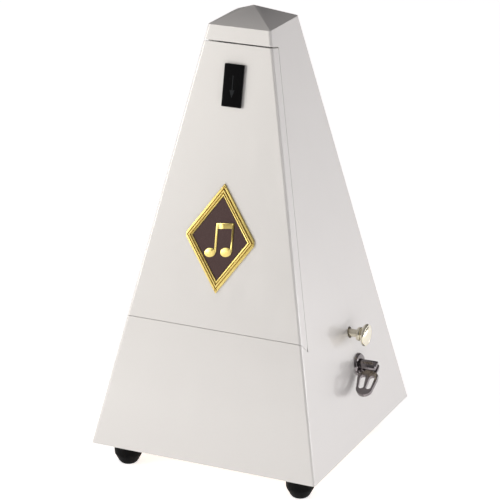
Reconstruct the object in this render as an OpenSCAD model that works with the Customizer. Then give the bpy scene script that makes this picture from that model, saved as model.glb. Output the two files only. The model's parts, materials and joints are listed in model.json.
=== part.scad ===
// Clockwork metronome with a bell, in a four-sided tapering case.
// +Z is up. The origin lies on the resting plane below the apex. The front faces -Y.

/* [Case] */
// Width and depth of the case at its bottom edge, mm
base_w = 116; // [100:1:130]
// Height of the case from its bottom edge to the roof's edge, mm
case_h = 200; // [170:1:230]
// Width and depth of the case at the roof's edge, mm
rim_w = 31.4; // [26:0.2:40]
// Rise of the four-sided roof, mm
roof_h = 7; // [3:0.5:12]
// Thickness of the case walls, measured level, mm
wall_t = 5.1; // [4:0.1:7]
// Thickness of the bottom board, mm
board_t = 5; // [3:0.5:8]
// Height of the rubber feet, mm
foot_h = 12.5; // [8:0.5:16]
// Distance of each foot from the middle planes, mm
foot_c = 45; // [38:0.5:48]
// How much nearer the middle planes the back feet stand, mm
back_inset = 3; // [0:0.5:4]

/* [Door] */
// Thickness of the door at its edges, mm
door_t = 6.4; // [5:0.1:9]
// Thickness of the door's hollowed panel, mm
panel_t = 2; // [1.5:0.1:4]
// Door's lower edge, measured up the front face, mm
door_lo = 64.3; // [50:0.1:80]
// Door's upper edge, measured up the front face, mm
door_hi = 196.7; // [180:0.1:199]
// Open joint around the door, mm
seam = 0.25; // [0.15:0.05:0.6]
// Wider open joint above the door, mm
head_seam = 0.6; // [0.3:0.1:1]
// Travel of the catch, mm
catch_travel = 3.5; // [2:0.5:5]

/* [Badge] */
// Height and width of the lozenge, mm
badge_h = 51.2; // [40:0.1:60]
badge_w = 36.1; // [28:0.1:44]
// Height of the badge's middle, measured up the front face, mm
badge_s = 107.1; // [90:0.1:120]

/* [Pendulum] */
// Height of the pendulum's pivot, measured up the front face, mm
pivot_s = 70; // [64:0.5:80]
// Upper end of the pendulum rod, measured up the front face, mm
rod_hi = 175; // [150:1:178]
// Middle of the sliding weight, measured up the front face, mm
weight_s = 128; // [92:0.5:156]
// Radius of the fixed lower bob, mm
bob_r = 12.5; // [9:0.5:15]

/* [Movement] */
// Tooth size (module) of the going train, mm
train_m = 0.6; // [0.5:0.05:0.8]
// Teeth of the great wheel
great_n = 72; // [60:6:84]
// Teeth of the second wheel
second_n = 60; // [48:6:72]
// Leaves of the pinions
pinion_n = 12; // [10:1:14]
// Teeth of the crown escape wheel, an odd number
crown_n = 15; // [13:2:17]
// Teeth of the bell drive and of the cam wheel
bell_drive_n = 30; // [20:2:40]
cam_wheel_n = 24; // [16:2:32]

/* [Bell and key] */
// Travel of the bell selector from silent to six beats, mm
selector_travel = 10; // [6:0.5:14]
// Radius of the bell at its mouth, mm
bell_r = 15; // [12:0.5:18]
// Turn of the winding arbor about its axis as stored, degrees
key_turn = 58; // [0:1:90]
// Lean of the folded key away from the case, degrees
key_lean = 5; // [4:1:20]

/* [Hidden] */
$fn = 48;

base_z = foot_h;
rim_z = foot_h + case_h;
taper = (base_w - rim_w) / 2 / case_h;
lean = atan(taper);
slope_k = sin(lean);
board_z = base_z + board_t;
rear_s = door_lo - 4;
big = 140;

lacquer = [0.88, 0.87, 0.85];
steel = [0.72, 0.73, 0.75];
brass = [0.80, 0.66, 0.36];
black = [0.06, 0.06, 0.07];
gold = [0.85, 0.74, 0.45];
dark_chrome = [0.33, 0.31, 0.32];
pale_wood = [0.72, 0.58, 0.42];

function half(z) = base_w / 2 - taper * (z - base_z);
function face_half(s) = base_w / 2 - slope_k * s;
// [y, z] of a point at depth d behind the front face and distance s up it
function front_yz(d, s) = [-base_w / 2 + s * sin(lean) + d * cos(lean),
    base_z + s * cos(lean) - d * sin(lean)];
function gear_r(n, m) = n * m / 2;
function aim(p, q) = atan2(q[1] - p[1], q[0] - p[0]);
function gap(p, q) = norm(q - p);
function polar(p, r, a) = p + r * [cos(a), sin(a)];
// the third corner of a triangle with sides ra from p and rb from q, on the rear side
function third(p, q, ra, rb) = let (c = gap(p, q), a = aim(p, q), x = (ra * ra - rb * rb + c * c) / 2 / c)
    polar(p, ra, a - acos(x / ra));

mesh_gap = 0.15;
key_yz = [10.2, 46.1];
rod_yz = [6.9, 63.3];
escape_yz = front_yz(34, pivot_s - 4);
second_yz = third(key_yz, escape_yz, gear_r(great_n + pinion_n, train_m) + mesh_gap,
    gear_r(second_n + pinion_n, train_m) + mesh_gap);
bell_m = 0.5;
cam_yz = polar(escape_yz, gear_r(bell_drive_n + cam_wheel_n, bell_m) + mesh_gap, 40);
bell_yz = [-17, 38];
left_x = -26;
right_x = 14.5;
plate_t = 1.6;
pillar_yz = [[-22, 26], [30, 24], [31, 86], [-21, 86]];

// places children with X kept, Y into the case behind the front face and Z up that face
module on_front() translate([0, -base_w / 2, base_z]) rotate([-lean, 0, 0]) children();
// places a shape drawn in XY so that its X runs along +Y, its Y up and its height along +X
module along_x(x, p) translate([x, p[0], p[1]]) rotate([90, 0, 90]) children();
// places a shape drawn in XY on the front face at depth d, with its height going inwards
module on_face(d, s) on_front() translate([0, d, s]) rotate([90, 0, 0]) mirror([0, 0, 1]) children();

// outline of the case in front view, set in by i, between two heights
module outline(i, z0, z1) polygon([[i - half(z0), z0], [half(z0) - i, z0],
    [half(z1) - i, z1], [i - half(z1), z1]]);
module taper_solid(i, z0, z1) intersection() {
    rotate([90, 0, 0]) linear_extrude(big, center = true) outline(i, z0, z1);
    rotate([90, 0, 90]) linear_extrude(big, center = true) outline(i, z0, z1);
}
// one mitred side of the case: a is the way it faces, 0 for +X
module mitred_side(a, z0, z1) intersection() {
    difference() {
        taper_solid(0, z0, z1);
        taper_solid(wall_t, z0 - 1, z1 + 1);
    }
    rotate([0, 0, a]) translate([0, 0, z0]) linear_extrude(z1 - z0)
        polygon([[0, 0], [base_w, -base_w], [base_w, base_w]]);
}
// the space that the door fills, grown by c at its joints
module door_space(c) on_front() rotate([90, 0, 90]) linear_extrude(big, center = true)
    let (top = door_hi + head_seam - seam + c) polygon([[-9, door_lo - c], [0, door_lo - c],
        [door_t + c, rear_s - c], [door_t + c, top], [-9, top]]);

module side_wall(a) difference() {
    mitred_side(a, base_z, rim_z);
    door_space(seam);
}
module left_wall() color(lacquer) side_wall(180);
module right_wall() color(lacquer) difference() {
    side_wall(0);
    along_x(30, key_yz) cylinder(h = 40, r = 4.05);
    along_x(30, rod_yz) cylinder(h = 14.6, r = 3.55);
    along_x(30, rod_yz) cylinder(h = 40, r = 2.7);
}
module back_wall() color(lacquer) mitred_side(90, base_z, rim_z);
module front_panel() color(lacquer) intersection() {
    mitred_side(270, base_z, rim_z);
    on_front() rotate([90, 0, 90]) linear_extrude(big, center = true)
        polygon([[-9, -20], [20, -20], [20, rear_s - 8.5 - seam], [door_t, rear_s - seam],
            [0, door_lo - seam], [-9, door_lo - seam]]);
}
module base_board() color(pale_wood) difference() {
    taper_solid(wall_t, base_z, board_z);
    at_feet() translate([0, 0, base_z - 1]) cylinder(h = board_t + 2, r = 1.6);
    for (p = screw_xy) translate([p[0], p[1], base_z + 1]) cylinder(h = board_t, r = 1.3);
}
module corner_blocks() color(pale_wood) difference() {
    intersection() {
        taper_solid(wall_t, board_z, board_z + 16);
        for (a = [0 : 90 : 270]) rotate([0, 0, a + 45]) translate([55, -15, board_z])
            cube([23, 30, 16]);
    }
    at_feet() translate([0, 0, board_z - 1]) cylinder(h = 9, r = 1.55);
}
module head_block() color(lacquer) difference() {
    union() {
        taper_solid(wall_t, rim_z - 8, rim_z);
        mitred_side(270, rim_z - 14, rim_z);
    }
    door_space(seam);
    on_front() translate([-3.3, 2.4, door_hi - 1]) cube([6.6, 2.4, 6.5]);
}
module gable(a) rotate([90, 0, a]) linear_extrude(big, center = true)
    polygon([[-rim_w / 2, rim_z], [rim_w / 2, rim_z], [0, rim_z + roof_h]]);
module roof_cap() color(lacquer) intersection() {
    gable(0);
    gable(90);
}

module at_feet() for (x = [-1, 1], y = [-1, 1]) let (c = foot_c - (y > 0 ? back_inset : 0))
    translate([x * c, y * c, 0]) children();
foot_profile = [[2.9, 0], [3.6, 0], [4.3, 0.5], [5, 1.6], [5.8, 3.2], [6.5, 4.6], [6.75, 6],
    [7, foot_h], [1.65, foot_h], [1.65, 8], [2.9, 8]];
module feet() color(black) at_feet() rotate_extrude() polygon(foot_profile);
module foot_screws() color(steel) at_feet() difference() {
    union() {
        translate([0, 0, 6.2]) cylinder(h = 1.8, r1 = 2.2, r2 = 2.75);
        translate([0, 0, 8]) cylinder(h = 16.5, r = 1.5);
    }
    translate([-3, -0.4, 5]) cube([6, 0.8, 2]);
}

// door
door_rim = 3.2;
module door() color(lacquer) difference() {
    intersection() {
        taper_solid(0, base_z, rim_z);
        on_front() rotate([90, 0, 90]) linear_extrude(big, center = true)
            polygon([[-1, door_lo], [0, door_lo], [5.6, door_lo - 3.5], [door_t, door_lo - 1.6],
                [door_t, door_hi], [-1, door_hi]]);
    }
    on_face(panel_t, 0) linear_extrude(9) polygon([[door_rim - face_half(65.8), 65.8], [face_half(65.8) - door_rim, 65.8],
        [face_half(192) - door_rim, 192], [door_rim - face_half(192), 192]]);
    on_front() translate([-5.5, panel_t, rear_s - 1]) cube([11, 6, 9]);
    on_front() translate([-2.2, -1, 176.3]) cube([4.4, 6, 10.7]);
    on_front() translate([-3.1, 2.6, 191]) cube([6.2, 2, 9]);
    for (s = [131.3, 82.9]) on_face(-1, s) cylinder(h = 4, r = 0.45);
    for (x = [-4.5, 4.5]) on_face(0.9, 183) translate([x, 0, 0]) cylinder(h = 3, r = 0.65);
}
module catch_slide() color(black) {
    on_front() translate([-4.85, -1.6, 168]) cube([9.7, 1.5, 19.75]);
    on_front() translate([-2, -0.1, 176.5]) cube([4, 3.2, 6.8]);
    on_front() translate([-2.8, 2.75, 176.5]) cube([5.6, 1.6, 20.1]);
}
module catch_keeper() color(steel) on_front() difference() {
    translate([-6, panel_t, 180.5]) cube([12, 3.2, 5]);
    translate([-2.95, panel_t - 1, 180]) cube([5.9, 3.5, 6]);
    for (x = [-4.5, 4.5]) translate([x, 0, 183]) rotate([-90, 0, 0]) cylinder(h = 9, r = 0.65);
}
module keeper_screws() color(steel) on_front() for (x = [-4.5, 4.5])
    translate([x, 0, 183]) rotate([-90, 0, 0]) {
        translate([0, 0, 1]) cylinder(h = 4.2, r = 0.6);
        translate([0, 0, panel_t + 3.2]) cylinder(h = 0.7, r = 1.3);
    }

// badge
module lozenge(h, w) polygon([[-w / 2, 0], [0, -h / 2], [w / 2, 0], [0, h / 2]]);
module badge_frame() color(gold) on_front() translate([0, -0.9, badge_s]) rotate([-90, 0, 0])
    difference() {
        union() {
            linear_extrude(0.9) lozenge(badge_h, badge_w);
            translate([0, 0, -0.35]) linear_extrude(0.6) difference() {
                lozenge(badge_h - 4.2, badge_w - 3);
                lozenge(badge_h - 8.4, badge_w - 6);
            }
        }
        translate([0, 0, -1]) linear_extrude(3) lozenge(38.9, 28);
        for (s = [-1, 1]) translate([0, s * 24.2, -1]) cylinder(h = 3, r = 0.45);
    }
module badge_field() color([0.24, 0.15, 0.15]) on_front() translate([0, -0.5, badge_s])
    rotate([-90, 0, 0]) linear_extrude(0.5) lozenge(38.8, 27.9);
// a pair of joined quavers; y runs down the face in this view
module badge_motif() color(gold) on_front() translate([0, -0.8, badge_s]) rotate([-90, 0, 0])
    linear_extrude(0.3) {
        for (x = [-4.4, 3.6]) translate([x, 6.4 - 0.15 * x]) rotate(-20) scale([1.35, 1]) circle(r = 2.1);
        for (x = [-2.3, 5.7]) polygon([[x, 6.2 - 0.15 * x], [x + 0.9, 6.2 - 0.15 * x],
            [x + 0.9, -7 - 0.15 * x], [x, -7 - 0.15 * x]]);
        polygon([[-2.3, -6.9], [6.6, -8.2], [6.6, -5.6], [-2.3, -4.3]]);
    }
module badge_pins() color(gold) on_front() for (s = [131.3, 82.9]) translate([0, 0, s])
    rotate([-90, 0, 0]) {
        translate([0, 0, -1.25]) cylinder(h = 0.35, r = 0.85);
        translate([0, 0, -1]) cylinder(h = 2.8, r = 0.4);
    }

// scale
scale_d = 7.6;
module scale_board() color(pale_wood) intersection() {
    taper_solid(wall_t, base_z, rim_z);
    on_front() translate([-60, scale_d, 82]) cube([120, 2, 108]);
}
module scale_plate() color(gold) on_face(scale_d - 0.6, 0) linear_extrude(0.6)
    polygon([[-17, 86], [17, 86], [9, 186], [-9, 186]]);
// tempo lines, closer together towards the slow end
mark_s = [for (k = [0 : 38]) 90 + 91 * (1 - pow(1 - k / 38, 1.45))];
module scale_marks() color(black) for (k = [0 : 38]) let (w = 17 - 0.08 * (mark_s[k] - 86),
    long = k % 2 == 0 ? 5 : 3.4, side = k % 2 == 0 ? 1 : -1)
    on_front() translate([side > 0 ? w - 1 - long : 1 - w, scale_d - 0.7, mark_s[k] - 0.15])
        cube([long, 0.1, 0.3]);
module rod_hook() color(steel) on_front() {
    translate([-3, scale_d - 1.3, 177.5]) cube([6, 0.7, 4]);
    translate([-1.6, 5, 177.5]) cube([3.2, scale_d - 6, 0.8]);
}

// pendulum
rod_d = 4.9;
module pendulum_rod() color(steel) on_front() difference() {
    translate([-1.6, rod_d, pivot_s - 3.4]) cube([3.2, 1.2, rod_hi - pivot_s + 3.4]);
    translate([0, 0, pivot_s]) rotate([-90, 0, 0]) cylinder(h = 12, r = 1.2);
    for (k = [0 : 32]) for (x = [-1.9, 1.3]) translate([x, rod_d - 1, 92 + 2.3 * k])
        cube([0.6, 4, 0.5]);
}
module pendulum_hub() color(brass) on_face(rod_d - 0.9, pivot_s) difference() {
    union() {
        cylinder(h = 0.9, r = 3.6);
        translate([0, 0, 2.1]) cylinder(h = 5.9, r = 3.6);
        translate([0, 0, 9.5]) cylinder(h = 1.2, r = 3.6);
    }
    translate([0, 0, -1]) cylinder(h = 20, r = 1.2);
}
module lower_rod() color(steel) on_front() difference() {
    translate([-2, 12, pivot_s - 48]) cube([4, 1.5, 52]);
    translate([0, 0, pivot_s]) rotate([-90, 0, 0]) cylinder(h = 16, r = 1.2);
}
module lower_bob() color([0.35, 0.35, 0.37]) on_face(8.6, pivot_s - 37) difference() {
    union() {
        cylinder(h = 8.2, r = bob_r);
        translate([0, 0, -0.4]) cylinder(h = 0.4, r1 = bob_r - 1, r2 = bob_r);
    }
    translate([-2, -20, 3.4]) cube([4, 40, 1.5]);
}
pallet_d = [23.8, 44.2];
module verge() color(steel) on_front() translate([0, 0, pivot_s]) rotate([-90, 0, 0]) {
    translate([0, 0, 3.6]) cylinder(h = 47, r = 1.2);
    for (k = [0, 1]) rotate([0, 0, k == 0 ? 128 : 232]) translate([0, -0.35, pallet_d[k] - 1.6])
        cube([3.1, 0.7, 3.2]);
}
module sliding_weight() color(brass) on_face(2.3, weight_s) difference() {
    linear_extrude(3.9) polygon([[-6, -7], [6, -7], [8, 7], [-8, 7]]);
    translate([-1.65, -9, rod_d - 2.35]) cube([3.3, 18, 4]);
    translate([-1.4, -4.5, 1.4]) cube([2.8, 9, 2]);
}
module weight_spring() color(steel) on_front() {
    translate([-1.2, 3.75, weight_s - 4.2]) cube([2.4, 0.3, 8.4]);
    translate([-1.2, 4.05, weight_s - 0.6]) cube([2.4, 0.8, 1.2]);
}

// movement
screw_xy = [[-31.5, -14], [-31.5, 24], [21, -14], [21, 24]];
plate_outline = [[-27, board_z], [36, board_z], [35, 60], [34, 91], [-25, 91], [-26.5, 60]];
module frame_plate(x, out) difference() {
    union() {
        along_x(x, [0, 0]) linear_extrude(plate_t) polygon(plate_outline);
        translate([out > 0 ? x : x + plate_t - 11, -20, board_z]) cube([11, 50, 1.5]);
    }
    for (p = pillar_yz) along_x(x - 1, p) cylinder(h = 4, r = 1.3);
    for (p = screw_xy) translate([p[0], p[1], board_z - 1]) cylinder(h = 4, r = 1.5);
    along_x(x - 1, second_yz) cylinder(h = 4, r = 0.85);
    along_x(x - 1, escape_yz) cylinder(h = 4, r = 0.85);
    along_x(x - 1, key_yz) cylinder(h = 4, r = 3.05);
}
module left_plate() color(brass) frame_plate(left_x, -1);
module right_plate() color(brass) difference() {
    frame_plate(right_x, 1);
    along_x(right_x - 1, rod_yz) cylinder(h = 4, r = 1.85);
    along_x(right_x - 1, cam_yz) cylinder(h = 4, r = 0.85);
    along_x(right_x - 1, bell_yz) cylinder(h = 4, r = 1.3);
    for (p = bridge_yz) along_x(right_x - 1, p) cylinder(h = 4, r = 1.1);
}
inner_w = right_x - left_x - plate_t;
module pillars() color(brass) for (p = pillar_yz) along_x(left_x + plate_t, p) difference() {
    union() {
        cylinder(h = inner_w, r = 2.2);
        for (x = [0, inner_w - 2]) translate([0, 0, x]) cylinder(h = 2, r = 2.8);
    }
    for (x = [-1, inner_w - 5]) translate([0, 0, x]) cylinder(h = 6, r = 1);
}
module pillar_screws() color(steel) for (p = pillar_yz) {
    along_x(left_x + plate_t, p) rotate([180, 0, 0]) machine_screw(plate_t, 3.5);
    along_x(right_x, p) machine_screw(plate_t, 3.5);
}
// head above a plate of thickness t, shank going l below it
module machine_screw(t, l) difference() {
    union() {
        translate([0, 0, -l]) cylinder(h = l + t, r = 0.95);
        translate([0, 0, t]) cylinder(h = 1.2, r = 2.2);
    }
    translate([-3, -0.3, t + 0.7]) cube([6, 0.6, 2]);
}
module movement_screws() color(steel) for (p = screw_xy) translate([p[0], p[1], board_z + 1.5])
    difference() {
        union() {
            translate([0, 0, -5]) cylinder(h = 5.1, r = 1.2);
            cylinder(h = 1.4, r1 = 2.6, r2 = 1.8);
        }
        translate([-3, -0.35, 0.8]) cube([6, 0.7, 2]);
    }
module verge_cocks() color(brass) on_front() difference() {
    union() {
        translate([left_x + plate_t, 19, pivot_s - 3]) cube([inner_w, 1.8, 6]);
        translate([-3, 47.4, pivot_s - 2.2]) cube([right_x + 3, 1.8, 4.4]);
    }
    translate([0, 0, pivot_s]) rotate([-90, 0, 0]) cylinder(h = 60, r = 1.25);
}

// teeth are straight-sided and a little thin, which leaves backlash
function tooth(r, m, n, k) = let (a = 360 * k / n, p = 360 / n, ro = r + 0.82 * m, ri = r - 1.1 * m)
    [for (q = [[ri, -0.24], [ro, -0.1], [ro, 0.1], [ri, 0.24]])
        q[0] * [cos(a + q[1] * p), sin(a + q[1] * p)]];
module gear(n, m, h, turn = 0) rotate([0, 0, turn]) linear_extrude(h)
    polygon([for (k = [0 : n - 1]) each tooth(gear_r(n, m), m, n, k)]);
// wheel with a rim, a hub and spokes left by round windows
module spoked(n, m, h, turn, hub, windows) difference() {
    gear(n, m, h, turn);
    let (r = gear_r(n, m), mid = (r - 2.4 * m + hub) / 2, wr = (r - 2.4 * m - hub) / 2)
        for (k = [0 : windows - 1]) rotate([0, 0, 360 * k / windows + 22]) translate([mid, 0, -1])
            cylinder(h = h + 2, r = wr - 0.2);
}
great_x = -13.5;
great_turn = aim(key_yz, second_yz);
module great_wheel() color(brass) along_x(great_x, key_yz) difference() {
    spoked(great_n, train_m, 2, great_turn, 8.2, 4);
    translate([0, 0, -1]) cylinder(h = 4, r = 3.05);
    rotate([0, 0, 112]) translate([12.4, 0, -1]) cylinder(h = 4, r = 0.85);
}
click_c = polar(key_yz, 12.4, 112);
module click() color(steel) along_x(great_x + 2.1, click_c) difference() {
    union() {
        cylinder(h = 1.4, r = 2.2);
        linear_extrude(1.4) polygon([[-2, 0.6], [1.4, -1.6], [7.2, -5.4], [8, -3.9], [1.6, 1.8]]);
    }
    translate([0, 0, -1]) cylinder(h = 4, r = 0.87);
}
module click_screw() color(steel) along_x(great_x, click_c) {
    cylinder(h = 3.8, r = 0.8);
    translate([0, 0, 3.6]) cylinder(h = 0.9, r = 1.6);
}
module ratchet_wheel() color(steel) along_x(great_x + 2.1, key_yz) difference() {
    linear_extrude(1.4) polygon([for (k = [0 : 19]) each [polar([0, 0], 6.6, 18 * k),
        polar([0, 0], 5.5, 18 * k + 2)]]);
    translate([0, 0, -1]) cylinder(h = 4, r = 2.2);
}
module winding_arbor() color(steel) along_x(0, key_yz) difference() {
    union() {
        translate([0, 0, left_x - 0.6]) cylinder(h = 13, r = 3);
        translate([0, 0, great_x - 0.5]) cylinder(h = 2.6, r = 3);
        translate([0, 0, great_x + 2.1]) cylinder(h = 1.4, r = 2.2);
        translate([0, 0, great_x + 3.5]) cylinder(h = 61.2, r = 3);
    }
    translate([0, 0, left_x - 2]) cylinder(h = 3, r = 1.2);
}
stem_x = 51.2;
stem_end = 60.4;
pin_x = 57.3;
// places children in the key's plane: X outwards, Y along the hanging bow
module in_key() translate([pin_x, key_yz[0], key_yz[1]]) rotate([-key_turn, 0, 0])
    rotate([-90, 0, 0]) children();
module key_stem() color(dark_chrome) difference() {
    along_x(stem_x, key_yz) union() {
        cylinder(h = stem_end - stem_x - 0.6, r = 3);
        translate([0, 0, stem_end - stem_x - 0.6]) cylinder(h = 0.6, r1 = 3, r2 = 2.5);
    }
    in_key() translate([-2.6, -4, -1.15]) cube([9, 8, 2.3]);
    in_key() translate([0, 0, -6]) cylinder(h = 12, r = 0.75);
}
module key_pin() color(dark_chrome) in_key() translate([0, 0, -3.1]) cylinder(h = 6.2, r = 0.72);
bow_t = 2;
module key_bow() color(dark_chrome) in_key() rotate([0, 0, -key_lean])
    linear_extrude(bow_t, center = true) difference() {
        union() {
            circle(r = 2.2);
            translate([-2.2, 0]) square([4.4, 5]);
            polygon([[-3.6, 3.6], [3.6, 3.6], [4.9, 5.2], [4.9, 7.5], [4, 13], [-4, 13], [-4.9, 7.5],
                [-4.9, 5.2]]);
            translate([0, 13.1]) circle(r = 4.02);
        }
        circle(r = 0.78);
        for (side = [-1, 1]) hull() {
            translate([2.25 * side, 7.2]) circle(r = 1.35);
            translate([1.8 * side, 12.3]) circle(r = 1.3);
        }
    }
module key_bush() color(dark_chrome) difference() {
    union() {
        along_x(45, key_yz) cylinder(h = half(key_yz[1]) + 0.2 - 45, r = 4);
        translate([half(key_yz[1]), key_yz[0], key_yz[1]]) rotate([0, 90 - lean, 0])
            cylinder(h = 1.3, r1 = 5.75, r2 = 5.2);
    }
    along_x(30, key_yz) cylinder(h = 40, r = 3.05);
}

// open coil: inner end just clear of the arbor, outer end round a pillar's side
spring_turns = 7;
function coil(r0, w) = [for (k = [0 : 24 * spring_turns]) polar([0, 0], r0 + w + k * 1.45 / 24, 15 * k)];
module mainspring() color([0.35, 0.38, 0.45]) along_x(-7, key_yz) linear_extrude(9)
    polygon(concat(coil(4, 0), [for (k = [24 * spring_turns : -1 : 0]) coil(4, 0.6)[k]]));

second_turn = aim(second_yz, escape_yz);
module second_wheel() color(brass) along_x(-21, second_yz) difference() {
    spoked(second_n, train_m, 1.5, second_turn, 5, 5);
    translate([0, 0, -1]) cylinder(h = 4, r = 1.5);
}
module second_arbor() color(steel) along_x(0, second_yz) {
    translate([0, 0, left_x]) cylinder(h = right_x - left_x + plate_t, r = 0.8);
    translate([0, 0, left_x + plate_t + 0.2]) cylinder(h = inner_w - 0.4, r = 1.5);
    translate([0, 0, -16]) gear(pinion_n, train_m, 7, great_turn + 180 + 180 / pinion_n);
}
module escape_arbor() color(steel) along_x(0, escape_yz) {
    translate([0, 0, left_x]) cylinder(h = 46, r = 0.8);
    translate([0, 0, left_x + plate_t + 0.2]) cylinder(h = inner_w - 0.4, r = 1.2);
    translate([0, 0, -22.5]) gear(pinion_n, train_m, 5, second_turn + 180 + 180 / pinion_n);
}
crown_r = 11.2;
module crown_wheel() color(brass) along_x(-9.2, escape_yz) {
    difference() {
        cylinder(h = 1.2, r = crown_r);
        translate([0, 0, -1]) cylinder(h = 4, r = 1.2);
        for (k = [0 : 3]) rotate([0, 0, 90 * k + 45]) translate([6, 0, -1]) cylinder(h = 4, r = 2.9);
    }
    difference() {
        cylinder(h = 3.6, r = crown_r);
        translate([0, 0, 1.2]) cylinder(h = 4, r = crown_r - 1.2);
        translate([0, 0, -1]) cylinder(h = 4, r = crown_r - 1.3);
    }
    intersection() {
        translate([0, 0, 3.6]) difference() {
            cylinder(h = 3, r = crown_r);
            translate([0, 0, -1]) cylinder(h = 6, r = crown_r - 1.2);
        }
        for (k = [0 : crown_n - 1]) rotate([0, 0, 360 * k / crown_n]) translate([8, 0, 0])
            rotate([90, 0, 90]) linear_extrude(5) polygon([[0, 3.4], [3.6, 3.4], [0.5, 6.6], [0, 6.6]]);
    }
}
drive_x = 17.4;
drive_turn = aim(escape_yz, cam_yz);
module bell_drive_wheel() color(brass) along_x(drive_x, escape_yz) difference() {
    gear(bell_drive_n, bell_m, 1.4, drive_turn);
    translate([0, 0, -1]) cylinder(h = 4, r = 0.8);
    for (k = [0 : 3]) rotate([0, 0, 90 * k]) translate([4.2, 0, -1]) cylinder(h = 4, r = 1.5);
}
module cam_wheel() color(brass) along_x(drive_x, cam_yz) difference() {
    gear(cam_wheel_n, bell_m, 1.4, drive_turn + 180 + 180 / cam_wheel_n);
    translate([0, 0, -1]) cylinder(h = 4, r = 1.5);
}
cam_x = 25.5;
cam_step = 2.5;
lobes = [12, 8, 6, 4];
cam_turn = [0, 0, 0, -5.5];
bridge_yz = [[-11.5, 83.5], [15, 84]];
bridge_x = 35;
module cam_stack() color(steel) along_x(0, cam_yz) {
    translate([0, 0, right_x]) cylinder(h = bridge_x + 1.5 - right_x, r = 0.8);
    translate([0, 0, right_x + plate_t + 0.2]) cylinder(h = bridge_x - right_x - plate_t - 0.4, r = 1.5);
    translate([0, 0, cam_x - 1]) cylinder(h = 3 * cam_step + 2, r = 3);
    for (k = [0 : 3]) translate([0, 0, cam_x + cam_step * k - 0.6]) rotate([0, 0, cam_turn[k]]) {
        cylinder(h = 1.2, r = 4.4);
        for (i = [1 : lobes[k]]) rotate([0, 0, 360 * i / lobes[k]]) linear_extrude(1.2)
            polygon([[3.5, -1.1], [6.2, -0.3], [6.2, 0.3], [3.5, 0.5]]);
    }
}
module cam_bridge() color(brass) difference() {
    union() {
        for (p = bridge_yz) along_x(right_x + plate_t, p) {
            cylinder(h = bridge_x - right_x - plate_t, r = 2);
            translate([0, 0, -plate_t]) cylinder(h = plate_t + 1, r = 1.05);
        }
        translate([bridge_x, -14, 76]) cube([1.5, 31.5, 10]);
    }
    along_x(bridge_x - 1, cam_yz) cylinder(h = 4, r = 0.85);
}

// bell and hammer
bell_x = 19.5;
bell_h = 11.5;
bell_wall = 1.1;
module bell_bowl(r, h) rotate_extrude() intersection() {
    square([r, h]);
    translate([0, h]) scale([1, h / r]) circle(r = r);
}
module bell() color(steel) along_x(bell_x, bell_yz) difference() {
    bell_bowl(bell_r, bell_h);
    translate([0, 0, bell_wall]) bell_bowl(bell_r - bell_wall, bell_h - bell_wall);
    translate([0, 0, bell_h - 0.01]) cylinder(h = 1, r = bell_r + 1);
    translate([0, 0, -1]) cylinder(h = 4, r = 1.3);
}
module bell_post() color(steel) along_x(right_x + plate_t, bell_yz) {
    cylinder(h = bell_x - right_x - plate_t, r = 2.4);
    translate([0, 0, -plate_t]) cylinder(h = 12, r = 1.25);
}
module bell_nut() color(brass) along_x(bell_x + bell_wall + 0.6, bell_yz) difference() {
    cylinder(h = 2.4, r = 3, $fn = 6);
    translate([0, 0, -1]) cylinder(h = 4, r = 1.28);
}
rod_lo = 3.4;
knob_x = 54.8;
module bell_rod() color([0.80, 0.78, 0.68]) along_x(rod_lo, rod_yz) difference() {
    cylinder(h = knob_x - rod_lo, r = 1.8);
    for (k = [0 : 4]) translate([0, 0, 27.5 + cam_step * k]) rotate_extrude()
        polygon([[3, -0.9], [1.45, -0.15], [1.45, 0.15], [3, 0.9]]);
}
knob_profile = [[1.82, -3.3], [3.1, -3.3], [3.3, -3.1], [3.3, -1.7], [3.1, -1.5], [2.4, -1.3],
    [2.4, -0.4], [4.9, 0], [5.3, 0.4], [5.3, 1.1], [4.7, 1.8], [2.4, 2.15], [0, 2.25], [0, 0], [1.82, 0]];
module bell_knob() color([0.80, 0.78, 0.68]) along_x(knob_x, rod_yz) rotate_extrude()
    polygon(knob_profile);
module rod_bush() color(brass) along_x(41.5, rod_yz) difference() {
    cylinder(h = 3.1, r = 3.5);
    translate([0, 0, -1]) cylinder(h = 6, r = 1.86);
}
hammer_x = 21;
hammer_a = 194.5;
module hammer() color(steel) along_x(hammer_x, rod_yz) difference() {
    union() {
        cylinder(h = 4, r = 3.2);
        translate([0, 0, 1.4]) linear_extrude(1.2) polygon([[-1.1, 0], [1.1, 0], [1, 17], [-1, 17]]);
        rotate([0, 0, hammer_a]) translate([0, -1, 1.2]) cube([24, 2, 1.6]);
        rotate([0, 0, hammer_a]) translate([24, 0, -0.5]) cylinder(h = 11.5, r = 2.2);
    }
    translate([0, 0, -1]) cylinder(h = 6, r = 1.86);
}

left_wall();
right_wall();
back_wall();
front_panel();
base_board();
corner_blocks();
head_block();
roof_cap();
feet();
foot_screws();
door();
catch_slide();
catch_keeper();
keeper_screws();
badge_frame();
badge_field();
badge_motif();
badge_pins();
scale_board();
scale_plate();
scale_marks();
rod_hook();
pendulum_rod();
pendulum_hub();
lower_rod();
lower_bob();
verge();
sliding_weight();
weight_spring();
left_plate();
right_plate();
pillars();
pillar_screws();
movement_screws();
verge_cocks();
mainspring();
great_wheel();
click();
click_screw();
winding_arbor();
ratchet_wheel();
key_stem();
key_pin();
key_bow();
key_bush();
second_wheel();
second_arbor();
crown_wheel();
escape_arbor();
bell_drive_wheel();
cam_stack();
cam_wheel();
cam_bridge();
bell();
bell_post();
bell_nut();
bell_rod();
bell_knob();
rod_bush();
hammer();
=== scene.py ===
import json
import math
import bpy
from mathutils import Matrix, Vector


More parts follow.
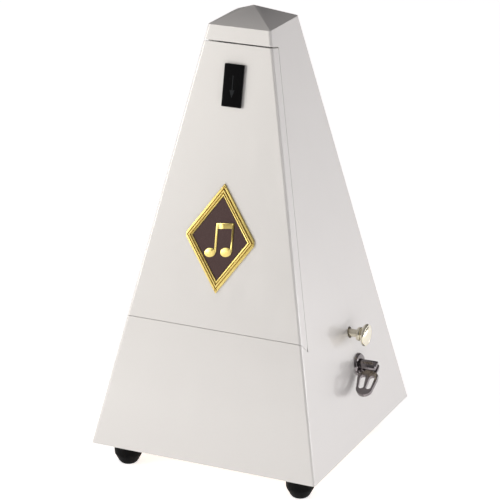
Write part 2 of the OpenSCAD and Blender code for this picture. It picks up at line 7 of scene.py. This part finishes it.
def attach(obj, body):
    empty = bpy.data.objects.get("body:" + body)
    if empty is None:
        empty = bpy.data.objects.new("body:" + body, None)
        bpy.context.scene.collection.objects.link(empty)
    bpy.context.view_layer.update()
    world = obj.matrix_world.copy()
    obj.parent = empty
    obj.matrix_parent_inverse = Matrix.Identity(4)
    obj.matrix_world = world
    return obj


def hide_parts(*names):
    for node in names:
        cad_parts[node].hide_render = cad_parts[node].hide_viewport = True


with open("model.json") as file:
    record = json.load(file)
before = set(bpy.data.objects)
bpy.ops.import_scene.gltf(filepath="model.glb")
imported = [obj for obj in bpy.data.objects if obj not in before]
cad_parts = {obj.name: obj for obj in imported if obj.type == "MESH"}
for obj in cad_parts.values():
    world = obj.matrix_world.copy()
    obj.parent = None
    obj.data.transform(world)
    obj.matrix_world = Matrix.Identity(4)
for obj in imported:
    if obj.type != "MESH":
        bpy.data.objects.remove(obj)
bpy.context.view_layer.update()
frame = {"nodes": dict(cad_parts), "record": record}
mm = 0.001

# outline of the case, in mm; several pieces share it
case = {
    "baseHalf": 58.0,
    "rimHalf": 15.7,
    "bottom": 12.5,
    "rim": 212.5,
    "apex": 219.5,
}
lean = math.atan((case["baseHalf"] - case["rimHalf"]) / (case["rim"] - case["bottom"]))
print("frame loaded")


# placing: most pieces lie either on the sloping front or along a shaft that runs left to right
def frontPlace(depth, up):  # local X across, Y into the case, Z up the front face
    turn = Matrix.Rotation(-lean, 4, "X")
    foot = Matrix.Translation(Vector((0, -case["baseHalf"], case["bottom"])) * mm)
    return foot @ turn @ Matrix.Translation(Vector((0, depth, up)) * mm)


def badgePlace(depth, up):  # a flat drawing in XY, seen upright, with +Z towards the viewer
    return frontPlace(depth, up) @ Matrix.Rotation(math.pi / 2, 4, "X")


def shaftPlace(x, y, z):  # local Z runs along +X
    return Matrix.Translation(Vector((x, y, z)) * mm) @ Matrix.Rotation(math.pi / 2, 4, "Y")


# modelling helpers
def deselectAll():
    if bpy.context.mode != "OBJECT":
        bpy.ops.object.mode_set(mode="OBJECT")
    bpy.ops.object.select_all(action="DESELECT")


def pickOnly(obj):
    deselectAll()
    obj.select_set(True)
    bpy.context.view_layer.objects.active = obj


def startEdit(obj, mode="FACE"):
    pickOnly(obj)
    bpy.ops.object.mode_set(mode="EDIT")
    bpy.ops.mesh.select_mode(type=mode)
    bpy.ops.mesh.select_all(action="DESELECT")


def endEdit():
    bpy.ops.object.mode_set(mode="OBJECT")


def pickEdges(obj, test):  # selects edges in edit mode by their two ends
    endEdit()
    points = [v.co for v in obj.data.vertices]
    for e in obj.data.edges:
        e.select = bool(test(points[e.vertices[0]], points[e.vertices[1]]))
    bpy.ops.object.mode_set(mode="EDIT")


def pickFaces(obj, test):  # selects faces in edit mode by centre and normal
    endEdit()
    for f in obj.data.polygons:
        f.select = bool(test(f.center, f.normal))
    bpy.ops.object.mode_set(mode="EDIT")


def placeMesh(obj, matrix):  # puts the place into the mesh, so that the object stays at the origin
    pickOnly(obj)
    obj.matrix_world = matrix @ obj.matrix_world
    bpy.ops.object.transform_apply(location=True, rotation=True, scale=True)


def copyPart(node, name):  # a clean copy of one frame part, with its flat faces made whole
    obj = bpy.data.objects.new(name, frame["nodes"][node].data.copy())
    obj.data.materials.clear()
    bpy.context.scene.collection.objects.link(obj)
    startEdit(obj)
    bpy.ops.mesh.customdata_custom_splitnormals_clear()
    bpy.ops.mesh.select_all(action="SELECT")
    bpy.ops.mesh.remove_doubles(threshold=1e-6)
    bpy.ops.mesh.dissolve_limited(angle_limit=math.radians(0.5))
    endEdit()
    return obj


def useModifier(obj, kind, **settings):
    pickOnly(obj)
    m = obj.modifiers.new(kind.title(), kind)
    for k, v in settings.items():
        setattr(m, k, v)
    bpy.ops.object.modifier_apply(modifier=m.name)


def roundEdges(obj, width, segments=2, angle=40):
    useModifier(obj, "BEVEL", width=width * mm, segments=segments, limit_method="ANGLE",
                angle_limit=math.radians(angle), use_clamp_overlap=True, harden_normals=False)


def finishPiece(obj, body, material, nodes=(), smooth=35, evenFaces=False):
    pickOnly(obj)
    if smooth:
        bpy.ops.object.shade_smooth_by_angle(angle=math.radians(smooth))
    if evenFaces:  # flat faces stay flat beside their rounded edges
        useModifier(obj, "WEIGHTED_NORMAL", mode="FACE_AREA", weight=100, keep_sharp=True)
    obj.data.materials.clear()
    obj.data.materials.append(material)
    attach(obj, body)
    if nodes:
        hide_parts(*nodes)
    return obj


def turnPiece(name, steps, segments=64, closeEnds=True):
    # turned on a lathe: a ring is extruded from radius to radius, in mm, up local Z
    deselectAll()
    r, z = steps[0]
    bpy.ops.mesh.primitive_circle_add(vertices=segments, radius=r * mm, location=(0, 0, z * mm),
                                      fill_type="NGON" if closeEnds else "NOTHING")
    obj = bpy.context.object
    obj.name = name
    pickOnly(obj)
    bpy.ops.object.transform_apply(location=True, rotation=True, scale=True)
    startEdit(obj, "EDGE")
    bpy.ops.mesh.select_all(action="SELECT")
    if closeEnds:
        bpy.ops.mesh.flip_normals()
    for (r0, z0), (r1, z1) in zip(steps, steps[1:]):
        bpy.ops.mesh.extrude_edges_move()
        k = r1 / r0
        bpy.ops.transform.resize(value=(k, k, 1), center_override=(0, 0, 0))
        bpy.ops.transform.translate(value=(0, 0, (z1 - z0) * mm))
    if closeEnds:
        bpy.ops.mesh.edge_face_add()
    bpy.ops.mesh.select_all(action="SELECT")
    bpy.ops.mesh.normals_make_consistent(inside=False)
    endEdit()
    return obj


# materials: shader maths is written with wires, so that 1 - mask reads as it would on paper
class Wire:
    def __init__(self, tree, socket=None):
        self.tree, self.socket = tree, socket

    def node(self, kind, settings=(), out=0, **inputs):
        n = self.tree.nodes.new("ShaderNode" + kind)
        for key, value in dict(settings).items():
            if key == "stops":
                ramp = n.color_ramp.elements
                while len(ramp) < len(value):
                    ramp.new(0.5)
                for element, (at, tone) in zip(ramp, value):
                    element.position = at
                    element.color = (*tone, 1) if isinstance(tone, tuple) else (tone, tone, tone, 1)
            else:
                setattr(n, key, value)
        for key, value in inputs.items():
            numbered = key.startswith("in") and key[2:].isdigit()
            socket = n.inputs[int(key[2:]) if numbered else key.replace("_", " ")]
            if isinstance(value, Wire):
                self.tree.links.new(value.socket, socket)
            else:
                socket.default_value = value
        return Wire(self.tree, n.outputs[out]) if n.outputs else n

    def maths(self, operation, a, b):
        return self.node("Math", {"operation": operation}, in0=a, in1=b)

    def __add__(self, other): return self.maths("ADD", self, other)
    def __radd__(self, other): return self.maths("ADD", other, self)
    def __sub__(self, other): return self.maths("SUBTRACT", self, other)
    def __rsub__(self, other): return self.maths("SUBTRACT", other, self)
    def __mul__(self, other): return self.maths("MULTIPLY", self, other)
    def __rmul__(self, other): return self.maths("MULTIPLY", other, self)


def newMaterial(name):
    material = bpy.data.materials.new(name)
    material.use_nodes = True
    material.node_tree.nodes.clear()
    w = Wire(material.node_tree)
    place = w.node("TexCoord", out=3)
    return material, w, place


def stretch(w, place, x, y, z, turn=(0, 0, 0)):
    return w.node("Mapping", Vector=place, Scale=(x, y, z), Rotation=turn)


def noise(w, place, scale, detail=3, rough=0.55):
    return w.node("TexNoise", Vector=place, Scale=scale, Detail=detail, Roughness=rough)


def ramp(w, value, *stops):
    return w.node("ValToRGB", {"stops": stops}, Fac=value)


def blendColour(w, mask, a, b):
    a, b = [(*c, 1) if isinstance(c, tuple) else c for c in (a, b)]
    return w.node("Mix", {"data_type": "RGBA"}, out=2, in0=mask, in6=a, in7=b)


def surface(w, colour, roughness, bump=None, height=0.0001, strength=0.3, **constants):
    # constants go straight on to the shader's own sockets
    links = {"Base_Color": colour if isinstance(colour, Wire) else (*colour, 1), "Roughness": roughness}
    if bump is not None:
        links["Normal"] = w.node("Bump", Height=bump, Distance=height, Strength=strength)
    shader = w.node("BsdfPrincipled", **links, **constants)
    w.node("OutputMaterial", Surface=shader)


def scratches(w, place, scale, turn):
    # thin, sparse hairlines running one way
    lines = noise(w, stretch(w, place, scale, scale * 0.03, scale, turn), 1.0, 2, 0.6)
    patches = noise(w, place, 35, 2)
    return ramp(w, lines, (0.66, 0.0), (0.70, 1.0)) * ramp(w, patches, (0.5, 0.0), (0.62, 1.0))


lacquerLook = {
    "light": (0.785, 0.766, 0.748),
    "dark": (0.74, 0.722, 0.705),
    "metallic": 0.22,
    "roughness": 0.34,
    "flake": 2600,
    "peel": 420,
    "coat": 0.7,
    "coatRoughness": 0.06,
}


def makeLacquer():
    material, w, place = newMaterial("silverLacquer")
    k = lacquerLook
    flake = w.node("TexVoronoi", Vector=place, Scale=k["flake"], out=0)
    cloud = noise(w, place, 28, 3)
    dust = noise(w, place, 900, 2)
    tone = blendColour(w, cloud * 0.3 + flake * 0.35, k["light"], k["dark"])
    rub = ramp(w, noise(w, stretch(w, place, 160, 160, 34), 1.0, 3), (0.52, 0.0), (0.8, 1.0))
    roughness = k["roughness"] + (cloud - 0.5) * 0.10 + rub * 0.10 + (dust - 0.5) * 0.05
    peel = noise(w, place, k["peel"], 2) * 0.8 + flake * 0.1
    surface(w, tone, roughness, peel, 0.00005, 0.16, Metallic=k["metallic"], Coat_Weight=k["coat"],
            Coat_Roughness=k["coatRoughness"])
    return material


rubberLook = {"tone": (0.0035, 0.0035, 0.0038), "worn": (0.010, 0.0098, 0.0095), "roughness": 0.55}


def makeRubber():
    material, w, place = newMaterial("blackRubber")
    grain = noise(w, place, 1800, 4)
    cloud = noise(w, place, 90, 3)
    tone = blendColour(w, ramp(w, cloud, (0.45, 0.0), (0.75, 0.6)), rubberLook["tone"], rubberLook["worn"])
    surface(w, tone, rubberLook["roughness"] + (cloud - 0.5) * 0.25, grain, 0.0001, 0.3,
            Specular_IOR_Level=0.05)
    return material


plastics = {
    "blackPlastic": {"tone": (0.0022, 0.0022, 0.0026), "roughness": 0.20},
    "arrowGrey": {"tone": (0.018, 0.020, 0.022), "roughness": 0.35},
    "scaleInk": {"tone": (0.012, 0.011, 0.010), "roughness": 0.5},
}


def makePlastic(name):
    tone, roughness = plastics[name]["tone"], plastics[name]["roughness"]
    material, w, place = newMaterial(name)
    fine = noise(w, place, 2200, 2)
    smear = noise(w, stretch(w, place, 60, 60, 18), 1.0, 3)
    scuff = scratches(w, place, 1500, (0.2, 0.4, 0.1))
    colour = blendColour(w, scuff * 0.5 + smear * 0.15, tone, tuple(min(1, c * 2 + 0.002) for c in tone))
    surface(w, colour, roughness + (smear - 0.5) * 0.14 + scuff * 0.12, fine, 0.00004, 0.15,
            Specular_IOR_Level=0.08)
    return material


metals = {
    "steel": {"tone": (0.56, 0.57, 0.59), "dull": (0.40, 0.40, 0.41), "roughness": 0.30,
              "grain": (900, 40, 900)},
    "bellSteel": {"tone": (0.74, 0.75, 0.77), "dull": (0.58, 0.58, 0.59), "roughness": 0.14,
                  "grain": (60, 900, 60)},
    "bluedSteel": {"tone": (0.10, 0.14, 0.26), "dull": (0.20, 0.15, 0.16), "roughness": 0.28,
                   "grain": (40, 700, 700)},
    "brass": {"tone": (0.79, 0.60, 0.27), "dull": (0.52, 0.36, 0.15), "roughness": 0.26,
              "grain": (500, 40, 500)},
    "badgeGold": {"tone": (0.84, 0.68, 0.24), "dull": (0.62, 0.45, 0.11), "roughness": 0.30,
                  "grain": (260, 60, 60)},
    "scaleGold": {"tone": (0.83, 0.74, 0.50), "dull": (0.70, 0.60, 0.38), "roughness": 0.38,
                  "grain": (900, 30, 30)},
    "bobIron": {"tone": (0.16, 0.16, 0.17), "dull": (0.09, 0.085, 0.08), "roughness": 0.55,
                "grain": (300, 300, 300)},
    "badgeShade": {"tone": (0.40, 0.25, 0.06), "dull": (0.24, 0.13, 0.03), "roughness": 0.45,
                   "grain": (260, 60, 60)},
    "paleNickel": {"tone": (0.86, 0.82, 0.68), "dull": (0.66, 0.58, 0.42), "roughness": 0.16,
                   "grain": (80, 500, 500)},
    "darkChrome": {"tone": (0.30, 0.275, 0.28), "dull": (0.10, 0.085, 0.09), "roughness": 0.12,
                   "grain": (160, 160, 160)},
}


def makeMetal(name):
    k = metals[name]
    material, w, place = newMaterial(name)
    brush = noise(w, stretch(w, place, *k["grain"]), 1.0, 3, 0.6)
    cloud = noise(w, place, 130, 4, 0.6)
    pits = noise(w, place, 2400, 2)
    tarnish = ramp(w, cloud, (0.42, 0.0), (0.78, 1.0))
    tone = blendColour(w, tarnish * 0.7 + brush * 0.15, k["tone"], k["dull"])
    roughness = k["roughness"] + (brush - 0.5) * 0.14 + tarnish * 0.14
    surface(w, tone, roughness, brush * 0.7 + pits * 0.3, 0.00004, 0.25, Metallic=1.0)
    return material


enamelLook = {"tone": (0.050, 0.022, 0.020), "fleck": (0.085, 0.042, 0.040), "roughness": 0.42}


def makeEnamel():
    material, w, place = newMaterial("brownEnamel")
    k = enamelLook
    fleck = w.node("TexVoronoi", Vector=place, Scale=2300, out=0)
    cloud = noise(w, place, 120, 3)
    tone = blendColour(w, fleck * 0.6 + cloud * 0.2, k["tone"], k["fleck"])
    surface(w, tone, k["roughness"] + (cloud - 0.5) * 0.15, fleck, 0.00006, 0.35,
            Specular_IOR_Level=0.3)
    return material


woodLook = {"pale": (0.56, 0.39, 0.23), "dark": (0.36, 0.22, 0.12), "roughness": 0.55}


def makeWood():
    material, w, place = newMaterial("paleWood")
    k = woodLook
    rings = noise(w, stretch(w, place, 260, 260, 9), 1.0, 4, 0.6)
    pores = noise(w, stretch(w, place, 2200, 2200, 70), 1.0, 2)
    mask = ramp(w, rings, (0.35, 0.0), (0.68, 1.0)) * 0.8 + ramp(w, pores, (0.55, 0.0), (0.7, 0.5)) * 0.4
    surface(w, blendColour(w, mask, k["pale"], k["dark"]), k["roughness"] + (rings - 0.5) * 0.2,
            pores, 0.0001, 0.35)
    return material


looks = {name: makeMetal(name) for name in metals}
looks["lacquer"] = makeLacquer()
looks["rubber"] = makeRubber()
looks.update({name: makePlastic(name) for name in plastics})
looks["enamel"] = makeEnamel()
looks["wood"] = makeWood()

slotLooks = {
    "lacquer": "lacquer", "pale_wood": "wood", "rubber": "rubber", "black_plastic": "blackPlastic",
    "steel": "steel", "bell_steel": "bellSteel", "blued_steel": "bluedSteel", "brass": "brass",
    "badge_gold": "badgeGold", "badge_brown": "enamel", "scale_gold": "scaleGold",
    "scale_ink": "scaleInk", "bob_iron": "bobIron", "pale_nickel": "paleNickel", "dark_chrome": "darkChrome",
}
for part in frame["record"]["subparts"]:  # every frame part gets its finish, also those replaced below
    node = frame["nodes"][part["node"]]
    node.data.materials.clear()
    node.data.materials.append(looks[slotLooks[part["material_slot"]]])
print("materials made")

# the case's outer form with softly rounded corners, which each lacquered piece is trimmed to
caseForm = {"grow": 0.004, "corner": 1.1, "rimEdge": 0.7, "hip": 0.9, "doorEdge": 0.28, "segments": 4}


def makeCaseForm():
    k = caseForm
    deselectAll()
    tall = case["rim"] - case["bottom"]
    low, high = [(case[name] + k["grow"]) * math.sqrt(2) * mm for name in ("baseHalf", "rimHalf")]
    bpy.ops.mesh.primitive_cone_add(vertices=4, radius1=low, radius2=high, depth=tall * mm,
                                    location=(0, 0, (case["bottom"] + tall / 2) * mm), end_fill_type="NGON",
                                    rotation=(0, 0, math.pi / 4))
    form = bpy.context.object
    form.name = "caseForm"
    pickOnly(form)
    bpy.ops.object.transform_apply(location=True, rotation=True, scale=True)
    startEdit(form)
    pickFaces(form, lambda c, n: n.z > 0.9)
    bpy.ops.mesh.poke()
    startEdit(form, "VERT")
    endEdit()
    for v in form.data.vertices:  # the middle of the top rises to the apex
        v.select = abs(v.co.x) < 1e-5 and v.co.z > 0.2
    bpy.ops.object.mode_set(mode="EDIT")
    bpy.ops.transform.translate(value=(0, 0, (case["apex"] - case["rim"]) * mm))
    nearRim = (case["rim"] - 0.5) * mm

    def rise(a, b):
        return abs(a.z - b.z)

    def onRoof(a, b):
        return min(a.z, b.z) > nearRim

    groups = (
        (k["corner"], lambda a, b: rise(a, b) > 0.1),
        (k["rimEdge"], lambda a, b: onRoof(a, b) and rise(a, b) < 0.0005 and (a - b).length > 0.02),
        (k["hip"], lambda a, b: onRoof(a, b) and rise(a, b) > 0.005),
    )
    bpy.ops.mesh.select_mode(type="EDGE")
    for width, test in groups:
        pickEdges(form, test)
        bpy.ops.mesh.bevel(offset=width * mm, segments=k["segments"], affect="EDGES", clamp_overlap=True)
    endEdit()
    return form


form = makeCaseForm()
lacquered = {
    "leftSide": ("left_wall", "case"),
    "rightSide": ("right_wall", "case"),
    "backBoard": ("back_wall", "case"),
    "lowerFront": ("front_panel", "case"),
    "headPiece": ("head_block", "case"),
    "roof": ("roof_cap", "case"),
    "doorBoard": ("door", "door"),
}
for name, (node, body) in lacquered.items():
    piece = copyPart(node, name)
    useModifier(piece, "BOOLEAN", operation="INTERSECT", object=form, solver="EXACT")
    if name == "doorBoard":
        roundEdges(piece, caseForm["doorEdge"], 2, 48)
    finishPiece(piece, body, looks["lacquer"], [node], smooth=32, evenFaces=True)
bpy.data.objects.remove(form)
print("case made")

# catch: the sliding plate with its arrow
catch = {
    "edge": 0.35, "arrowTop": 182.5, "arrowNeck": 175.8, "arrowTip": 172.3, "head": 1.25, "shaft": 0.2,
    "arrowDepth": -1.6, "arrowThick": 0.05,
}
catchPlate = copyPart("catch_slide", "catchPlate")
roundEdges(catchPlate, catch["edge"], 3, 50)
finishPiece(catchPlate, "catch", looks["blackPlastic"], ["catch_slide"], evenFaces=True)


def makeArrow():  # points down: a plain shaft joined to a three-cornered head
    k = catch
    shaftLong = k["arrowTop"] - k["arrowNeck"]
    headLong = k["arrowNeck"] - k["arrowTip"]
    deselectAll()
    bpy.ops.mesh.primitive_plane_add(size=1)
    arrow = bpy.context.object
    arrow.name = "catchArrow"
    middle = Matrix.Translation(Vector((0, k["arrowNeck"] + shaftLong / 2, 0)) * mm)
    placeMesh(arrow, middle @ Matrix.Diagonal((2 * k["shaft"] * mm, shaftLong * mm, 1, 1)))
    deselectAll()
    bpy.ops.mesh.primitive_circle_add(vertices=3, radius=1, fill_type="NGON", rotation=(0, 0, math.pi))
    head = bpy.context.object
    middle = Matrix.Translation(Vector((0, k["arrowNeck"] - headLong / 3, 0)) * mm)
    placeMesh(head, middle @ Matrix.Diagonal((k["head"] * 2 / math.sqrt(3) * mm, headLong / 1.5 * mm, 1, 1)))
    arrow.select_set(True)
    bpy.context.view_layer.objects.active = arrow
    bpy.ops.object.join()
    startEdit(arrow)
    bpy.ops.mesh.select_all(action="SELECT")
    bpy.ops.mesh.normals_make_consistent(inside=False)
    bpy.ops.mesh.extrude_region_move()
    bpy.ops.transform.translate(value=(0, 0, k["arrowThick"] * mm))
    bpy.ops.mesh.select_all(action="SELECT")
    bpy.ops.mesh.normals_make_consistent(inside=False)
    endEdit()
    placeMesh(arrow, badgePlace(k["arrowDepth"], 0))
    return finishPiece(arrow, "catch", looks["arrowGrey"], smooth=0)


makeArrow()
print("catch made")

# badge: a lozenge frame of stepped mouldings; each step is (distance in from the edge, height) in mm
badge = {
    "middle": 107.1, "halfTall": 25.6, "halfWide": 18.05, "blunt": 17.15, "groove": 0.5, "notesEdge": 0.1,
    "steps": [(0, 0), (0, 0.72), (0.14, 0.88), (0.95, 0.94), (1.05, 0.88), (1.12, 0.5), (1.38, 0.5),
              (1.44, 1.0), (1.62, 1.22), (2.12, 1.22), (2.28, 1.0), (2.34, 0.5), (2.56, 0.5), (2.62, 0.9),
              (2.74, 0.98), (3.2, 0.9), (3.34, 0.62), (3.36, 0), (0, 0)],
}


def makeBadgeFrame():
    k = badge
    a, b = k["halfTall"], k["halfWide"]
    perMm = math.hypot(a, b) / b  # how far the top corner moves when every side moves in by 1 mm
    steps = [(a - inset * perMm, height) for inset, height in k["steps"]]
    rim = turnPiece("badgeMoulding", steps, 4, closeEnds=False)
    startEdit(rim, "VERT")
    bpy.ops.mesh.select_all(action="SELECT")
    bpy.ops.mesh.remove_doubles(threshold=1e-7)
    bpy.ops.transform.resize(value=(b / a, 1, 1), center_override=(0, 0, 0))
    for side in (-1, 1):
        bpy.ops.mesh.select_all(action="SELECT")
        bpy.ops.mesh.bisect(plane_co=(side * k["blunt"] * mm, 0, 0), plane_no=(side, 0, 0),
                            clear_outer=True, use_fill=True)
    bpy.ops.mesh.select_all(action="SELECT")
    bpy.ops.mesh.normals_make_consistent(inside=False)
    endEdit()
    grooves = [f.index for f in rim.data.polygons
               if abs(f.center.z - k["groove"] * mm) < 1e-5 and f.normal.z > 0.9]
    placeMesh(rim, badgePlace(0, k["middle"]))
    finishPiece(rim, "door", looks["badgeGold"], ["badge_frame"], smooth=25)
    rim.data.materials.append(looks["badgeShade"])
    for i in grooves:
        rim.data.polygons[i].material_index = 1


makeBadgeFrame()

# the two nails at the badge's tall corners
nails = {
    "high": 131.0, "low": 83.2,
    "steps": [(0.7, 0), (0.7, 0.95), (0.6, 1.08), (0.42, 1.12), (0.34, 0.9), (0.05, 0.88)],
}


def makeNails():
    made = []
    for name, up in (("badgeNails", nails["high"]), ("lowerNail", nails["low"])):
        nail = turnPiece(name, nails["steps"], 24)
        placeMesh(nail, badgePlace(0, up))
        made.append(nail)
    pickOnly(made[0])
    made[1].select_set(True)
    bpy.ops.object.join()
    return finishPiece(made[0], "door", looks["badgeShade"], ["badge_pins"], smooth=40)


makeNails()
notes = copyPart("badge_motif", "badgeNotes")
roundEdges(notes, badge["notesEdge"], 2, 50)
finishPiece(notes, "door", looks["badgeGold"], ["badge_motif"])
print("badge made")

# bell selector and winding key
knob = {
    "axis": (6.9, 63.3), "x": 54.8,
    "steps": [(1.85, -3.3), (3.0, -3.3), (3.22, -3.15), (3.3, -2.9), (3.3, -1.9), (3.22, -1.65), (3.0, -1.5),
              (2.45, -1.4), (2.35, -1.2), (2.35, -0.55), (2.5, -0.35), (4.7, -0.1), (5.1, 0.1), (5.3, 0.45),
              (5.3, 1.0), (5.15, 1.35), (4.8, 1.62), (4.35, 1.7), (4.15, 1.6), (3.95, 1.76), (2.5, 2.12),
              (0.9, 2.24), (0.15, 2.25)],
}
selectorKnob = turnPiece("selectorKnob", knob["steps"], 72)
placeMesh(selectorKnob, shaftPlace(knob["x"], *knob["axis"]))
finishPiece(selectorKnob, "selector", looks["paleNickel"], ["bell_knob"], smooth=38)

key = {"bowEdge": 0.22, "stemEdge": 0.3, "bushEdge": 0.3}
keyBow = copyPart("key_bow", "keyBow")
roundEdges(keyBow, key["bowEdge"], 3, 50)
finishPiece(keyBow, "bow", looks["darkChrome"], ["key_bow"], smooth=45, evenFaces=True)
keyStem = copyPart("key_stem", "keyStem")
roundEdges(keyStem, key["stemEdge"], 2, 50)
finishPiece(keyStem, "winding", looks["darkChrome"], ["key_stem"], smooth=45)
keyCollar = copyPart("key_bush", "keyCollar")
roundEdges(keyCollar, key["bushEdge"], 2, 55)
finishPiece(keyCollar, "case", looks["darkChrome"], ["key_bush"], smooth=45)
print("key made")

# rubber feet, one turned shape copied to the four corners
foot = {
    "front": 45.0, "back": 42.0,
    "steps": [(2.9, 8.0), (2.9, 0.35), (3.0, 0.1), (3.25, 0.0), (3.65, 0.05), (4.1, 0.4), (4.75, 1.2),
              (5.3, 2.3), (5.9, 3.45), (6.35, 4.25), (6.58, 4.8), (6.7, 5.5), (6.78, 7.0), (6.95, 12.0),
              (7.0, 12.5), (1.65, 12.5), (1.65, 8.0), (2.9, 8.0)],
}


def makeFeet():
    first = turnPiece("footFrontLeft", foot["steps"], 56, closeEnds=False)
    startEdit(first, "VERT")
    bpy.ops.mesh.select_all(action="SELECT")
    bpy.ops.mesh.remove_doubles(threshold=1e-6)
    bpy.ops.mesh.normals_make_consistent(inside=False)
    endEdit()
    f, b = foot["front"], foot["back"]
    places = {"footFrontRight": (f, -f), "footBackLeft": (-b, b), "footBackRight": (b, b)}
    made = [(first, (-f, -f))]
    for name, spot in places.items():
        other = bpy.data.objects.new(name, first.data.copy())
        bpy.context.scene.collection.objects.link(other)
        made.append((other, spot))
    for one, (x, y) in made:
        placeMesh(one, Matrix.Translation(Vector((x, y, 0)) * mm))
        finishPiece(one, "case", looks["rubber"], ["feet"], smooth=40)


makeFeet()
print("feet made")

# tempo numbers beside their lines on the scale
tempo = {
    "values": [208, 200, 192, 184, 176, 168, 160, 152, 144, 138, 132, 126, 120, 116, 112, 108, 104, 100,
               96, 92, 88, 84, 80, 76, 72, 69, 66, 63, 60, 58, 56, 54, 52, 50, 48, 46, 44, 42, 40],
    "size": 2.3, "low": 90.0, "span": 91.0, "bend": 1.45, "depth": 6.97, "thick": 0.03,
    "plateHalf": 17, "plateTaper": 0.08, "plateFoot": 86, "margin": 1, "gap": 0.5,
    "longLine": 5, "shortLine": 3.4,
}


def makeNumbers():
    k, made = tempo, []
    last = len(k["values"]) - 1
    for i, value in enumerate(k["values"]):
        up = k["low"] + k["span"] * (1 - (1 - i / last) ** k["bend"])
        edge = k["plateHalf"] - k["plateTaper"] * (up - k["plateFoot"])
        right = i % 2 == 0
        line = k["longLine"] if right else k["shortLine"]
        across = edge - k["margin"] - line - k["gap"]
        deselectAll()
        bpy.ops.object.text_add()
        number = bpy.context.object
        number.data.body = str(value)
        number.data.size = k["size"] * mm
        number.data.align_x = "RIGHT" if right else "LEFT"
        number.data.align_y = "CENTER"
        number.data.extrude = k["thick"] * mm
        bpy.ops.object.convert(target="MESH")
        aside = Matrix.Translation(Vector(((across if right else -across) * mm, 0, 0)))
        placeMesh(number, badgePlace(k["depth"], up) @ aside)
        made.append(number)
    deselectAll()
    for number in made:
        number.select_set(True)
    bpy.context.view_layer.objects.active = made[0]
    bpy.ops.object.join()
    made[0].name = "tempoNumbers"
    return finishPiece(made[0], "case", looks["scaleInk"], smooth=0)


makeNumbers()
print("scale made")

# sliding weight and hub, with worked edges
weights = {"slideEdge": 0.3, "bobEdge": 0.4}
weightBody = copyPart("sliding_weight", "slidingWeight")
roundEdges(weightBody, weights["slideEdge"], 2, 40)
finishPiece(weightBody, "weight", looks["brass"], ["sliding_weight"])
bobBody = copyPart("lower_bob", "lowerBob")
roundEdges(bobBody, weights["bobEdge"], 2, 40)
finishPiece(bobBody, "pendulum", looks["bobIron"], ["lower_bob"], smooth=40)
bellCup = copyPart("bell", "bellCup")
finishPiece(bellCup, "case", looks["bellSteel"], ["bell"], smooth=40)
print("small pieces made")

# room: a pale lit table, soft lamps, darker overhead, and the camera
room = {
    "floor": (0.93, 0.93, 0.925), "glow": 0.76, "glowTone": (1, 0.982, 0.986, 1), "tint": (1, 0.965, 0.968),
    "overhead": 0.34, "aroundHigh": 0.16, "around": 0.12,
    "camera": (460.33, -991.2, 498.56), "target": (-1.44, -0.67, 99.85), "lens": 176.45,
}


def makeFloor():
    deselectAll()
    bpy.ops.mesh.primitive_plane_add(size=9, location=(0, 0, 0))
    floor = bpy.context.object
    floor.name = "floor"
    material, w, place = newMaterial("paleFloor")
    cloud = noise(w, place, 3, 2)
    tone = blendColour(w, cloud, room["floor"], tuple(c * 0.99 for c in room["floor"]))
    surface(w, tone, 0.75 + cloud * 0.05, Emission_Color=room["glowTone"], Emission_Strength=room["glow"])
    floor.data.materials.append(material)


def makeWorld():
    world = bpy.data.worlds.new("softRoom")
    bpy.context.scene.world = world
    world.use_nodes = True
    world.node_tree.nodes.clear()
    w = Wire(world.node_tree)
    height = w.node("SeparateXYZ", out=2, Vector=w.node("TexCoord", out=0))
    stops = [(at, tuple(c * room[name] for c in room["tint"]))
             for at, name in ((0.0, "around"), (0.45, "aroundHigh"), (0.95, "overhead"))]
    light = ramp(w, height, *stops)
    w.node("OutputWorld", Surface=w.node("Background", Color=light, Strength=1.0))


lamps = {
    "frontLamp": {"place": (-1.05, -1.0, 0.42), "aim": (0, 0, 0.11), "size": (0.8, 0.6),
                  "power": 9.6, "tone": (1, 0.98, 0.925)},
    "edgeStrip": {"place": (1.15, -0.58, 0.30), "aim": (0, 0, 0.12), "size": (0.05, 1.0),
                  "power": 1.5, "tone": (1, 0.99, 1)},
    "lowLamp": {"place": (0.45, 0.12, 0.03), "aim": (0.05, 0, 0.02), "size": (0.5, 0.05),
                "power": 0.40, "tone": (1, 0.98, 0.99)},
}


def addLamp(name, place, aim, size, power, tone):
    deselectAll()
    bpy.ops.object.light_add(type="AREA", location=place)
    lamp = bpy.context.object
    lamp.name = name
    lamp.data.shape = "RECTANGLE"
    lamp.data.size, lamp.data.size_y = size
    lamp.data.energy = power
    lamp.data.color = tone
    lamp.rotation_mode = "QUATERNION"
    lamp.rotation_quaternion = (Vector(aim) - Vector(place)).to_track_quat("-Z", "Y")


def addCamera():
    cameraData = bpy.data.cameras.new("camera")
    camera = bpy.data.objects.new("camera", cameraData)
    bpy.context.scene.collection.objects.link(camera)
    cameraData.sensor_width = 36
    cameraData.lens = room["lens"]
    cameraData.clip_start, cameraData.clip_end = 0.05, 20
    spot, target = Vector(room["camera"]) * mm, Vector(room["target"]) * mm
    camera.location = spot
    camera.rotation_mode = "QUATERNION"
    camera.rotation_quaternion = (target - spot).to_track_quat("-Z", "Y")
    bpy.context.scene.camera = camera


makeFloor()
makeWorld()
for name, settings in lamps.items():
    addLamp(name, **settings)
addCamera()
bpy.context.scene.view_settings.view_transform = "Standard"
bpy.context.scene.view_settings.look = "None"
print("room made")
